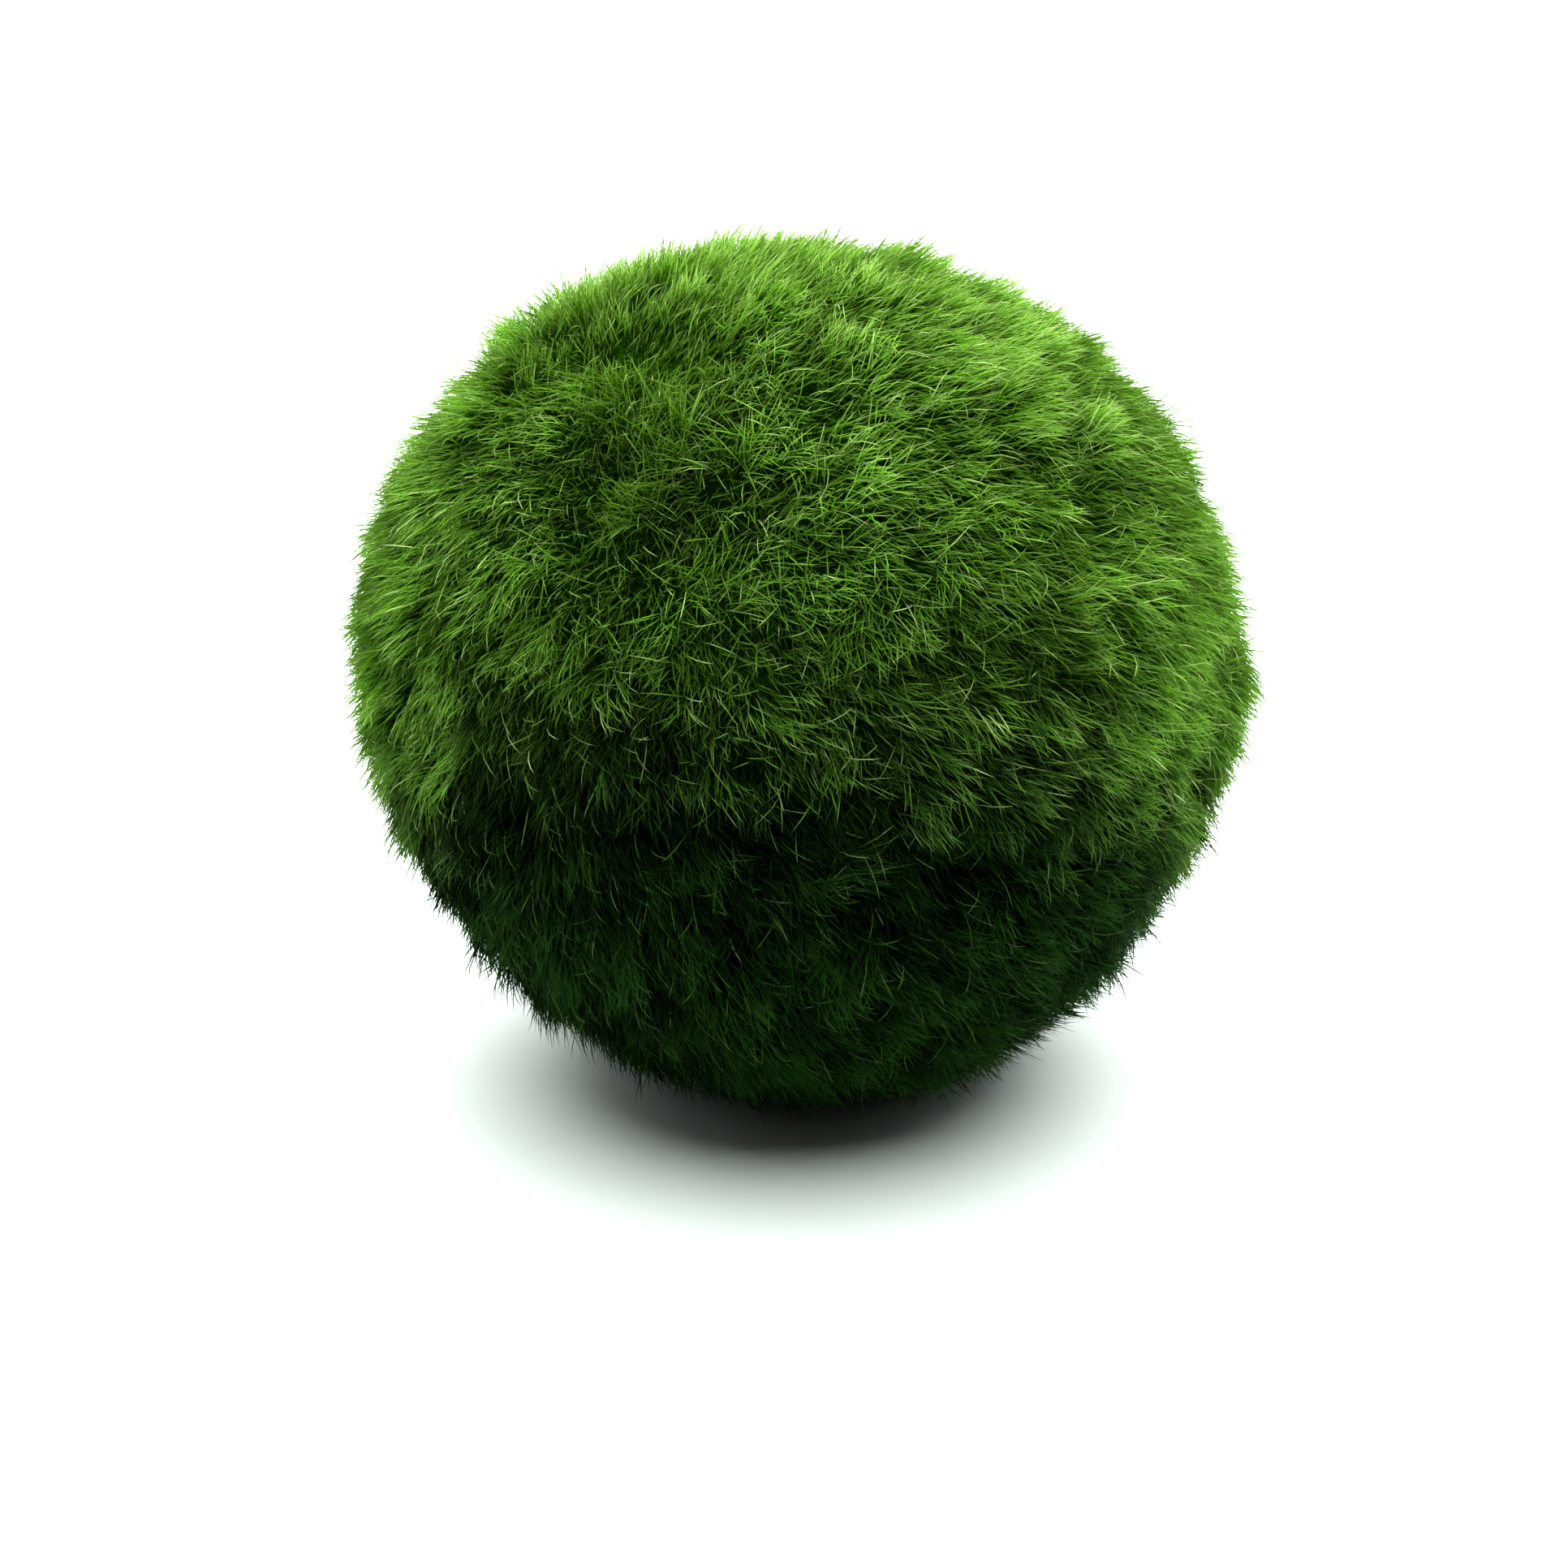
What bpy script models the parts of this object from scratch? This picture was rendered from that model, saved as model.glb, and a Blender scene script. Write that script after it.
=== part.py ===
"""A marimo moss ball: a round ball of fine green water weed, resting on a small flat spot.

The ball grew as one piece, so it is one closed body. The body reaches the tips of the soft
filaments. It starts as a cube whose faces are cut into squares and blown up to a sphere. Three
things then move its surface in and out: a few broad lobes and creases, small hollows where the
filaments part, and the locks, which overlap like shingles and lie the way the filaments are
combed. X is the ball's width, -Y its best side and Z is up. Sizes are metres.
"""

import bmesh
import bpy
import numpy as np
from mathutils import Vector

# Driving dimensions
WIDTH = 0.0555                # across the tips, left to right
DEPTH_SHARE = 0.985           # front to back, as a share of the width
HEIGHT_SHARE = 0.980          # top to bottom before the underside is pressed flat
FOOT_RADIUS = 0.0085          # the flat spot that the ball rests on
FOOT_BULGE = 0.0007           # how far the weight pushes the moss out around the flat spot
FOOT_BULGE_HEIGHT = 0.004

# The mesh
SQUARES = 28                  # squares along each edge of the starting cube

# Locks: each is a tapered tuft that lies along the combed direction
LOCKS = 300
LOCK_LENGTH = (0.0085, 0.0120)
LOCK_HALF_WIDTH = (0.0024, 0.0034)
LOCK_HEIGHT = (0.0011, 0.0020)
LOCK_TIP_NARROWING = 0.60
LOCK_TIP_DROP = 6.0           # how steeply a lock ends, in lengths
LOCK_STRAY = 0.30             # how far a lock strays from the combed direction, in radians
LOCK_SCATTER = 0.03           # how far a lock strays from its even place, in radians
LOCK_SEED = 7

# Directions are (right, front, up), from the ball's middle
CROWNS = (
    # direction the filaments fan out from, pull of that crown
    ((-0.60, 0.14, 0.79), 1.00),
    ((-0.38, 0.70, 0.61), 0.78),
    ((0.55, -0.70, 0.45), 0.40),
    ((-0.62, -0.75, -0.10), 0.36),
    ((0.30, -0.60, -0.75), 0.24),
)
CROWN_REACH = 0.9             # the angle over which a crown's pull fades, in radians
CROWN_CALM = 0.15             # within this angle of a crown the filaments have no one way to lie
LEAN = (0.10, 0.0, 0.0)       # a weak pull on every filament, as X, Y and Z

# Lobes and creases: direction, height in metres, spread as an angle in radians
LOBES = (
    ((-0.96, 0.10, 0.24), 0.0018, 0.42),      # left shoulder
    ((-0.63, -0.07, 0.77), 0.0009, 0.36),     # upper left
    ((-0.46, -0.25, 0.85), 0.0008, 0.20),
    ((0.99, 0.10, 0.00), 0.0010, 0.18),       # right lobe
    ((0.80, -0.15, 0.57), 0.0002, 0.35),      # upper right
    ((0.05, 0.30, 0.95), 0.0002, 0.45),       # top
    ((0.55, 0.80, -0.25), 0.0002, 0.45),      # lower right front
    ((-0.30, 0.90, -0.40), 0.0004, 0.40),     # lower left front
    ((0.35, -0.90, 0.25), 0.0007, 0.45),      # back
    ((-0.45, -0.80, -0.35), 0.0006, 0.40),    # low back
    ((-0.84, 0.50, 0.22), -0.0006, 0.16),     # crease before the left shoulder
    ((-0.74, 0.42, 0.52), -0.0005, 0.16),
    ((0.40, 0.05, 0.92), -0.0004, 0.22),      # dip right of the top
    ((-0.17, 0.00, 0.98), -0.0004, 0.18),     # dip left of the top
    ((0.96, 0.09, 0.25), -0.0008, 0.17),      # dip over the right lobe
    ((0.85, -0.50, -0.10), -0.0006, 0.20),    # back right crease
    ((-0.05, -0.93, -0.30), -0.0007, 0.20),
)

# Partings, where the filaments fall away to either side of a small dark hollow
PARTINGS = (
    (-0.38, 0.38, 0.84),
    (0.04, 0.65, 0.76),
    (-0.16, 0.78, 0.60),
    (-0.29, 0.82, 0.49),
    (0.62, 0.59, 0.53),
    (-0.05, 0.97, 0.22),
    (0.30, 0.93, -0.20),
    (-0.60, 0.78, -0.10),
    (0.88, 0.45, -0.12),
    (-0.55, -0.40, 0.72),
    (0.70, -0.60, 0.38),
    (-0.85, -0.50, 0.10),
    (0.15, -0.98, 0.10),
    (0.62, -0.70, -0.35),
    (-0.30, -0.85, -0.42),
)
PARTING_DEPTH = 0.0009
PARTING_SPREAD = 0.085

MOSS_COLOUR = (0.075, 0.19, 0.025, 1.0)
MOSS_ROUGHNESS = 0.85

RADIUS = WIDTH / 2


def unit(vectors):
    """The same directions, each one long."""
    return vectors / np.maximum(np.linalg.norm(vectors, axis=-1, keepdims=True), 1e-12)


def direction(right_front_up):
    """A (right, front, up) direction as a unit vector in X, Y, Z: the front looks along -Y."""
    right, front, up = right_front_up
    return unit(np.array((right, -front, up)))


def cube_sphere(squares):
    """Unit directions on a cube cut into squares and blown up, with the bmesh that joins them."""
    bm = bmesh.new()
    bmesh.ops.create_cube(bm, size=2.0)
    bmesh.ops.subdivide_edges(bm, edges=bm.edges[:], cuts=squares - 1, use_grid_fill=True)
    corners = np.array([vert.co for vert in bm.verts])
    evened = np.tan(corners * np.pi / 4)
    return bm, unit(evened)


def even_directions(count):
    """Directions spread evenly over a sphere, on a spiral whose turns keep the golden angle."""
    step = np.arange(count) + 0.5
    height = 1 - 2 * step / count
    angle = step * np.pi * (3 - np.sqrt(5))
    across = np.sqrt(1 - height**2)
    return np.stack([across * np.cos(angle), across * np.sin(angle), height], axis=1)


def along_surface(vectors, outward):
    """The part of each vector that lies in the surface, for a surface facing outward."""
    return vectors - np.sum(vectors * outward, axis=1, keepdims=True) * outward


def combed(outward):
    """The way the filaments lie at each place: away from each crown, the nearest most, and a
    little along LEAN."""
    lie = np.zeros_like(outward)
    for crown, pull in CROWNS:
        middle = direction(crown)
        apart = np.arccos(np.clip(outward @ middle, -1, 1))[:, None]
        away = unit(along_surface(-np.broadcast_to(middle, outward.shape), outward))
        lie += pull * np.exp(-apart / CROWN_REACH) * np.minimum(apart / CROWN_CALM, 1) * away
    lie += along_surface(np.broadcast_to(LEAN, outward.shape), outward)
    return unit(lie)


def bumps(outward, middles, heights, spreads):
    """The sum of round bumps: each falls off with the angle from its middle, as a bell curve."""
    away = 1 - np.clip(outward @ middles.T, -1, 1)
    return (heights * np.exp(-2 * away / spreads**2)).sum(axis=1)


def lobe_relief(outward):
    """Height of the broad lobes and creases."""
    middles = np.array([direction(lobe[0]) for lobe in LOBES])
    heights = np.array([lobe[1] for lobe in LOBES])
    spreads = np.array([lobe[2] for lobe in LOBES])
    return bumps(outward, middles, heights, spreads)


def parting_relief(outward):
    """Depth of the small hollows, as a height below zero."""
    middles = np.array([direction(parting) for parting in PARTINGS])
    heights = np.full(len(middles), -PARTING_DEPTH)
    spreads = np.full(len(middles), PARTING_SPREAD)
    return bumps(outward, middles, heights, spreads)


def lock_relief(outward):
    """Height of the locks. A lock rises from its root to its tip, narrows on the way and ends
    steeply, and where locks overlap the higher one shows."""
    chance = np.random.default_rng(LOCK_SEED)
    tips = unit(even_directions(LOCKS) + chance.normal(0, LOCK_SCATTER, (LOCKS, 3)))
    lie = combed(tips)
    side = np.cross(tips, lie)
    turn = chance.normal(0, LOCK_STRAY, (LOCKS, 1))
    lie, side = lie * np.cos(turn) + side * np.sin(turn), side * np.cos(turn) - lie * np.sin(turn)
    length = chance.uniform(*LOCK_LENGTH, LOCKS)
    half_width = chance.uniform(*LOCK_HALF_WIDTH, LOCKS)
    height = chance.uniform(*LOCK_HEIGHT, LOCKS)

    offset = outward[:, None, :] - tips[None, :, :]
    reach = 1 + RADIUS * np.einsum("ijk,jk->ij", offset, lie) / length
    across = RADIUS * np.einsum("ijk,jk->ij", offset, side)
    same_side = outward @ tips.T > 0
    narrowed = half_width * (1 - LOCK_TIP_NARROWING * np.clip(reach, 0, 1) ** 2)
    crown = np.clip(1 - (across / narrowed) ** 2, 0, 1)
    rise = np.clip(reach, 0, 1)
    fall = np.clip(1 - LOCK_TIP_DROP * (reach - 1), 0, 1)
    relief = height * np.sqrt(crown) * rise * fall * same_side
    return relief.max(axis=1)


def pressed_flat(points):
    """The points with the underside flat at FOOT_RADIUS and pushed out a little above that."""
    half_height = -points[:, 2].min()
    half_side = points[:, 0].max()
    floor = -half_height * np.sqrt(1 - (FOOT_RADIUS / half_side) ** 2)
    above = np.maximum(points[:, 2] - floor, 0)
    bulge = FOOT_BULGE * np.exp(-above / FOOT_BULGE_HEIGHT)
    across = np.linalg.norm(points[:, :2], axis=1, keepdims=True)
    outward = points[:, :2] / np.maximum(across, 1e-9)
    pressed = points.copy()
    pressed[:, :2] += outward * bulge[:, None] * np.minimum(across / FOOT_RADIUS, 1)
    pressed[:, 2] = np.maximum(points[:, 2], floor) - floor
    return pressed


def moss_points(outward):
    """The surface points: an ellipsoid, its relief, the pressed underside, then the true width."""
    relief = lobe_relief(outward) + parting_relief(outward) + lock_relief(outward)
    shares = np.array((1.0, DEPTH_SHARE, HEIGHT_SHARE))
    points = outward * shares * (RADIUS + relief)[:, None]
    lowest, highest = points[:, 0].min(), points[:, 0].max()
    points *= WIDTH / (highest - lowest)
    points = pressed_flat(points)
    middle = (points.max(axis=0) + points.min(axis=0)) / 2
    points[:, :2] -= middle[:2]
    return points


def moss_material():
    """Soft green weed: plain, rough and not metallic."""
    material = bpy.data.materials.new("moss")
    material.use_nodes = True
    shader = material.node_tree.nodes["Principled BSDF"]
    shader.inputs["Base Color"].default_value = MOSS_COLOUR
    shader.inputs["Roughness"].default_value = MOSS_ROUGHNESS
    shader.inputs["Metallic"].default_value = 0.0
    material.diffuse_color = MOSS_COLOUR
    return material


def make_moss_ball(collection):
    """The ball as one object, at the origin, standing on its flat spot."""
    bm, outward = cube_sphere(SQUARES)
    for vert, point in zip(bm.verts, moss_points(outward)):
        vert.co = Vector(point)
    bmesh.ops.recalc_face_normals(bm, faces=bm.faces[:])
    mesh = bpy.data.meshes.new("moss_ball")
    bm.to_mesh(mesh)
    bm.free()
    mesh.shade_smooth()
    mesh.materials.append(moss_material())
    ball = bpy.data.objects.new("moss_ball", mesh)
    collection.objects.link(ball)


for old in list(bpy.data.objects):
    bpy.data.objects.remove(old, do_unlink=True)

marimo = bpy.data.collections.new("marimo_moss_ball")
bpy.context.scene.collection.children.link(marimo)
make_moss_ball(marimo)
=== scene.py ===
"""A marimo moss ball as it looks: a mat of tangled water weed, short filaments that stand close
together on it, a coat of fine and of longer filaments that lies in locks, and a few strays. It
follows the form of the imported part. Sizes are metres. X is the ball's width, its best side looks
along -Y and Z is up."""

import bpy
import numpy as np
from mathutils import Matrix, Vector


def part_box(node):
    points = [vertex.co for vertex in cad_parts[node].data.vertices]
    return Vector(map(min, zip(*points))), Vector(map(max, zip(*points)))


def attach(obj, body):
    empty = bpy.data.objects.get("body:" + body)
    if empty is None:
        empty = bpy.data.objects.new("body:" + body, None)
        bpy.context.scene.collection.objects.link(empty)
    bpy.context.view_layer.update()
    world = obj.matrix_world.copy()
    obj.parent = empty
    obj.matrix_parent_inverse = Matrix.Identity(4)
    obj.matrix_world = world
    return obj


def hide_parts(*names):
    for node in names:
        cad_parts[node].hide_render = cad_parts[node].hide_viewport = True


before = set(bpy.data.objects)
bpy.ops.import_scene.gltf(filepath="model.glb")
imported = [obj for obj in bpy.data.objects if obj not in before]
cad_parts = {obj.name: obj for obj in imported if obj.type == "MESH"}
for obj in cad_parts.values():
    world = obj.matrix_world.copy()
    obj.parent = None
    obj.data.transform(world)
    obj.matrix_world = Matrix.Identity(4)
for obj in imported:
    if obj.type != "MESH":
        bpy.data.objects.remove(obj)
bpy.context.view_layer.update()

# ---------------------------------------------------------------------------------------------
# The camera. The ball was photographed from a little above, with a long lens, and its middle
# lies a little above the picture's middle. The ball is placed by where its middle falls.
PICTURE = 1932                # the picture's side, in pixels
FOCAL_PIXELS = 3600           # the lens's focal length, in the same pixels
SENSOR_WIDTH = 36             # and the width that the picture's side stands for, in millimetres
SEEN_FROM_TO = (0.01, 20)     # the nearest and the farthest that the camera sees
BALL_MIDDLE = (985, 810)      # where the ball's middle falls, from the picture's upper left
BALL_HALF_WIDTH_PIXELS = 560
VIEW_ELEVATION = np.radians(16.5)

low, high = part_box("moss_ball")
middle = (low + high) / 2
half_width = (high.x - low.x) / 2
half_angle = np.arctan(BALL_HALF_WIDTH_PIXELS / FOCAL_PIXELS)
distance = half_width / np.sin(half_angle)
back = Vector((0, -np.cos(VIEW_ELEVATION), np.sin(VIEW_ELEVATION)))

camera = bpy.data.objects.new("camera", bpy.data.cameras.new("camera"))
bpy.context.scene.collection.objects.link(camera)
bpy.context.scene.camera = camera
camera.data.sensor_width = SENSOR_WIDTH
camera.data.lens = SENSOR_WIDTH * FOCAL_PIXELS / PICTURE
camera.data.clip_start, camera.data.clip_end = SEEN_FROM_TO
aside = np.arctan((BALL_MIDDLE[0] - PICTURE / 2) / FOCAL_PIXELS)
above = np.arctan((PICTURE / 2 - BALL_MIDDLE[1]) / FOCAL_PIXELS)
aim = (-back).to_track_quat("-Z", "Y").to_matrix()
aim = aim @ Matrix.Rotation(aside, 3, "Y") @ Matrix.Rotation(-above, 3, "X")
camera.matrix_world = Matrix.Translation(middle + back * distance) @ aim.to_4x4()


# ---------------------------------------------------------------------------------------------
# The mat. Under its filaments a marimo is the same weed, matted too tightly to see apart: it is
# dark, with painted shade for the little light that reaches it, and it shows only where the
# filaments part.
TIPS_OUT = 0.0010             # how far the tips reach past the solid's mean surface
MAT_DEPTH = 0.0026            # how far the mat lies below the tips
MAT_THINNING = 0.75           # the share of that depth which it loses under the foot
MAT_SQUARES = 32              # squares along each edge of the cube it is blown up from
MAT_LOWEST = 0.0004           # how far it stays above the floor
FOOT_ANGLE = 0.34             # half the angle that the flat spot takes up, seen from the heart
FOOT_EDGE = (0.7, 1.7)        # where the foot starts and ends fading, as shares of that angle
FORM_SPREAD = 0.055           # how finely the solid's form is followed, in radians
DOWNWARD = 0.3                # a direction that goes down by more than this can meet the floor

MAT_DARK = (0.0020, 0.0100, 0.0002, 1)
MAT_GREEN = (0.0110, 0.0480, 0.0009, 1)
# the painted shadow that the mat goes to where the painted light level is low
MAT_PAINTED_SHADOW = (0.0003, 0.0015, 0.0002, 1)
MAT_STOPS = (0.35, 0.72)      # the noise at which it is dark and at which it is green
MAT_THREADS = 2600            # how fine the noise of its threads is, in grains to a metre
MAT_PATCHES = 260             # and the noise of its patches
MAT_BRIGHTNESS = (0.6, 0.8)   # of the darkest patch, and what the lightest has on top
MAT_ROUGHNESS = (0.75, 0.2)   # of the smoothest thread, and what the roughest has on top

# Painted light and shade: the colours are painted darker toward the underside and the front's
# lower part, as if shaded there, and fully lit higher up and toward the back.
PAINTED_LIGHT_FROM_BEHIND = 0.60           # how much being toward the back counts against height in the painted light
PAINTED_SHADE_BELOW = 0.0065         # up to this height at the heart the colour is in full painted shade
PAINTED_LIGHT_ABOVE = 0.0225          # and from this height it is in full painted light
PAINTED_SHADE_BREAKS = 0.006          # how far the edge of the painted shade wanders up and down
PAINTED_SHADE_CLOUDS = 120            # how fine the noise is by which it wanders

HEART = np.array(middle)      # the middle of the solid's box


def unit(vectors):
    """The same directions, each one long: the vectors over their lengths."""
    return vectors / np.maximum(np.linalg.norm(vectors, axis=-1, keepdims=True), 1e-12)


def smooth_step(value, start, end):
    """0 up to start, 1 past end, and between them 3t^2 - 2t^3 of the share t of the way."""
    share = np.clip((value - start) / (end - start), 0, 1)
    return share * share * (3 - 2 * share)


def form_points():
    """Direction and distance, from the heart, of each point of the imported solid."""
    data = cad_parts["moss_ball"].data
    places = np.empty(len(data.vertices) * 3, np.float32)
    data.vertices.foreach_get("co", places)
    places = np.unique(places.reshape(-1, 3).round(6), axis=0) - HEART
    return unit(places).astype(np.float32), np.linalg.norm(places, axis=1).astype(np.float32)


FORM_DIRECTIONS, FORM_DISTANCES = form_points()


def reach(outward, at_once=4000):
    """How far from the heart the filaments' tips lie in each direction: the mean distance of the
    solid's points, weighted by a bell curve of the angle to them, and cut off at the floor."""
    found = np.empty(len(outward))
    sharpness = 1 / FORM_SPREAD**2
    for start in range(0, len(outward), at_once):
        part = outward[start : start + at_once].astype(np.float32)
        weight = np.exp(sharpness * (part @ FORM_DIRECTIONS.T - 1))
        found[start : start + at_once] = weight @ FORM_DISTANCES / (weight.sum(axis=1) + 1e-20)
    to_floor = HEART[2] / np.maximum(-outward[:, 2], DOWNWARD)
    return np.minimum(found, np.where(outward[:, 2] < -DOWNWARD, to_floor, np.inf))


def footness(outward):
    """1 straight down, where the ball is pressed on the floor, falling to 0 beside that spot, in
    a smooth step of the angle from straight down."""
    angle = np.arccos(np.clip(-outward[:, 2], -1, 1))
    return 1 - smooth_step(angle, FOOT_ANGLE * FOOT_EDGE[0], FOOT_ANGLE * FOOT_EDGE[1])


def mat_radius(outward):
    """How far from the heart the mat lies: the reach, plus TIPS_OUT, less MAT_DEPTH. Under the
    foot the first of these goes, and so does MAT_THINNING of the second."""
    foot = footness(outward)
    return reach(outward) + TIPS_OUT * (1 - foot) - MAT_DEPTH * (1 - MAT_THINNING * foot)


def cube_sphere(squares):
    """Unit directions of a cube's six grids blown up to a sphere, and the squares that join them.
    Grid lines are spaced by the tangent of an even angle, so the squares come out alike."""
    line = np.tan(np.linspace(-np.pi / 4, np.pi / 4, squares + 1))
    across, along = np.meshgrid(line, line, indexing="ij")
    ones = np.ones_like(across)
    grids = [
        np.stack([across, along, ones], -1),
        np.stack([along, across, -ones], -1),
        np.stack([ones, across, along], -1),
        np.stack([-ones, along, across], -1),
        np.stack([along, ones, across], -1),
        np.stack([across, -ones, along], -1),
    ]
    points = np.concatenate([grid.reshape(-1, 3) for grid in grids])
    _, first, merged = np.unique(
        points.round(6), axis=0, return_index=True, return_inverse=True
    )
    index = merged.reshape(6, squares + 1, squares + 1)
    faces = np.stack(
        [index[:, :-1, :-1], index[:, 1:, :-1], index[:, 1:, 1:], index[:, :-1, 1:]], -1
    )
    return unit(points[first]), faces.reshape(-1, 4)


def mesh_of(name, places, faces_by_size):
    """A smooth mesh from an array of places and arrays of faces, one array for each face size."""
    data = bpy.data.meshes.new(name)
    corners = np.concatenate([faces.ravel() for faces in faces_by_size])
    sizes = np.concatenate([np.full(len(f), f.shape[1]) for f in faces_by_size])
    starts = np.concatenate([[0], np.cumsum(sizes)[:-1]])
    data.vertices.add(len(places))
    data.vertices.foreach_set("co", places.astype(np.float32).ravel())
    data.loops.add(len(corners))
    data.loops.foreach_set("vertex_index", corners.astype(np.int32))
    data.polygons.add(len(sizes))
    data.polygons.foreach_set("loop_start", starts.astype(np.int32))
    data.update(calc_edges=True)
    data.shade_smooth()
    return data


class Number:
    """A shader number that can be used in a Python sum, difference or product."""

    def __init__(self, finish, socket):
        self.finish = finish
        self.socket = socket

    def _math(self, operation, first, second):
        return self.finish.node("ShaderNodeMath", {"operation": operation}, {0: first, 1: second})

    def __add__(self, other):
        return self._math("ADD", self, other)

    def __sub__(self, other):
        return self._math("SUBTRACT", self, other)

    def __rsub__(self, other):
        return self._math("SUBTRACT", other, self)

    def __mul__(self, other):
        return self._math("MULTIPLY", self, other)

    __radd__ = __add__
    __rmul__ = __mul__


class Finish:
    """The nodes of a material or a world. One method adds any node: the node's type, its
    settings, which are set first, and the values or links of its sockets. It returns one
    output."""

    def __init__(self, owner):
        owner.use_nodes = True
        self.owner = owner
        self.tree = owner.node_tree
        self.tree.nodes.clear()

    def node(self, kind, settings=None, inputs=None, output=0):
        made = self.tree.nodes.new(kind)
        for key, value in (settings or {}).items():
            if key == "stops":
                self.set_stops(made.color_ramp.elements, value)
            else:
                setattr(made, key, value)
        for key, value in (inputs or {}).items():
            if isinstance(value, Number):
                self.tree.links.new(value.socket, made.inputs[key])
            else:
                made.inputs[key].default_value = value
        return Number(self, made.outputs[output]) if made.outputs else made

    @staticmethod
    def set_stops(elements, stops):
        """Gives a colour ramp these (place, colour) stops."""
        for _ in range(len(stops) - len(elements)):
            elements.new(1.0)
        for element, (place, colour) in zip(elements, stops):
            element.position = place
            element.color = colour

    def mixed(self, share, first, second):
        """The first colour where share is 0 and the second where it is 1."""
        settings = {"data_type": "RGBA"}
        return self.node("ShaderNodeMix", settings, {0: share, 6: first, 7: second}, output=2)

    def dimmed(self, colour, factor):
        """The colour times a number."""
        settings = {"operation": "SCALE"}
        return self.node("ShaderNodeVectorMath", settings, {0: colour, "Scale": factor})

    def stepped(self, value, start, end, least=0.0):
        """least up to start, 1 past end, and between them rising in a smooth step."""
        settings = {"interpolation_type": "SMOOTHSTEP"}
        return self.node("ShaderNodeMapRange", settings, {0: value, 1: start, 2: end, 3: least})

    def noise(self, scale, detail, roughness=0.5):
        """Soft cloudy noise on the piece's own coordinates, from 0 to 1."""
        place = self.node("ShaderNodeTexCoord", output=3)
        inputs = {"Vector": place, "Scale": scale, "Detail": detail, "Roughness": roughness}
        return self.node("ShaderNodeTexNoise", None, inputs)


def painted_light_level(finish, lift=0.0):
    """The painted light level of each place, as a height in metres: its height, plus a share of
    how far back it is, for the light stands behind, plus lift, plus a little cloudy noise. Colours
    are painted darker where it is low."""
    place = finish.node("ShaderNodeTexCoord", output=3)
    behind = finish.node("ShaderNodeSeparateXYZ", None, {0: place}, output=1)
    height = finish.node("ShaderNodeSeparateXYZ", None, {0: place}, output=2)
    wander = PAINTED_SHADE_BREAKS * (finish.noise(PAINTED_SHADE_CLOUDS, 2) - 0.5)
    return height + PAINTED_LIGHT_FROM_BEHIND * behind + wander + lift


def mat_finish():
    """Matted weed: dark green with lighter threads, rough all over and finely lumpy, and going to
    a painted shadow where the painted light level is low.
    """
    finish = Finish(bpy.data.materials.new("moss_mat"))
    threads = finish.noise(MAT_THREADS, 4, 0.6)
    patches = finish.noise(MAT_PATCHES, 2)
    stops = list(zip(MAT_STOPS, (MAT_DARK, MAT_GREEN)))
    shade = finish.node("ShaderNodeValToRGB", {"stops": stops}, {0: threads})
    # painted light: the mat's own colour shows where it is high, painted shadow where it is low
    light = finish.stepped(painted_light_level(finish), PAINTED_SHADE_BELOW, PAINTED_LIGHT_ABOVE)
    brightness = MAT_BRIGHTNESS[0] + MAT_BRIGHTNESS[1] * patches
    colour = finish.mixed(light, MAT_PAINTED_SHADOW, finish.dimmed(shade, brightness))
    bump = finish.node(
        "ShaderNodeBump", None, {"Strength": 0.9, "Distance": 0.0004, "Height": threads}
    )
    surface = finish.node(
        "ShaderNodeBsdfPrincipled",
        None,
        {
            "Base Color": colour,
            "Roughness": MAT_ROUGHNESS[0] + MAT_ROUGHNESS[1] * threads,
            "Specular IOR Level": 0.0,
            "Normal": bump,
        },
    )
    finish.node("ShaderNodeOutputMaterial", None, {"Surface": surface})
    return finish.owner


mat_directions, mat_faces = cube_sphere(MAT_SQUARES)
mat_places = HEART + mat_directions * mat_radius(mat_directions)[:, None]
mat_places[:, 2] = np.maximum(mat_places[:, 2], MAT_LOWEST)
mat = bpy.data.objects.new("moss_mat", mesh_of("moss_mat", mat_places, [mat_faces]))
bpy.context.scene.collection.objects.link(mat)
mat.data.materials.append(mat_finish())
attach(mat, "root")
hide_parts("moss_ball")


# ---------------------------------------------------------------------------------------------
# The short filaments. Between the locks, shorter filaments stand close together and hide most
# of the mat. They grow out of it, and for the coat above them their colour has painted shade.
# They are made as two joined meshes, the front half and the back half.
SHORT_FILAMENTS = 24000
SHORT_SCATTER = 0.01          # how far their roots stray from even places, in radians
SHORT_LENGTH = (0.0024, 0.0038)
SHORT_HALF_THICKNESS = 0.000058
SHORT_ALONG = np.array((0.0, 0.55, 1.0))
SHORT_TAPER = np.array((0.0, 1.0, 0.0))
SHORT_TURN = 0.45             # how far they stray from the combed way, in radians
SHORT_WILD = 2                # how many times more they do at a crown
SHORT_RISE = (48, 84)         # the angle at which they leave the mat, in degrees
SHORT_END = (0, 40)           # the angle to the surface at which they end, in degrees
SHORT_BOW = 0.20              # how far they bow sideways, as a share of their length
SHORT_ROOT = 0.0003           # how deep in the mat they are rooted
SHORT_TONE = (0.5, 0.2)       # their mean tone, and how much it varies
SHORT_GROWN = 0.85            # how far their tips get toward the colour of fresh growth
SHORT_SHADE = 0.42            # their shade, and how much painted shade they have where the coat has it too
SHORT_PAINTED_SHADE_IN_TANGLE = 0.14
SHORT_IN_PAINTED_SHADINGS = 0.6
# a factor on their colour for the painted shade of the coat above them
SHORT_PAINTED_SHADE_FACTOR = 0.6

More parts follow.
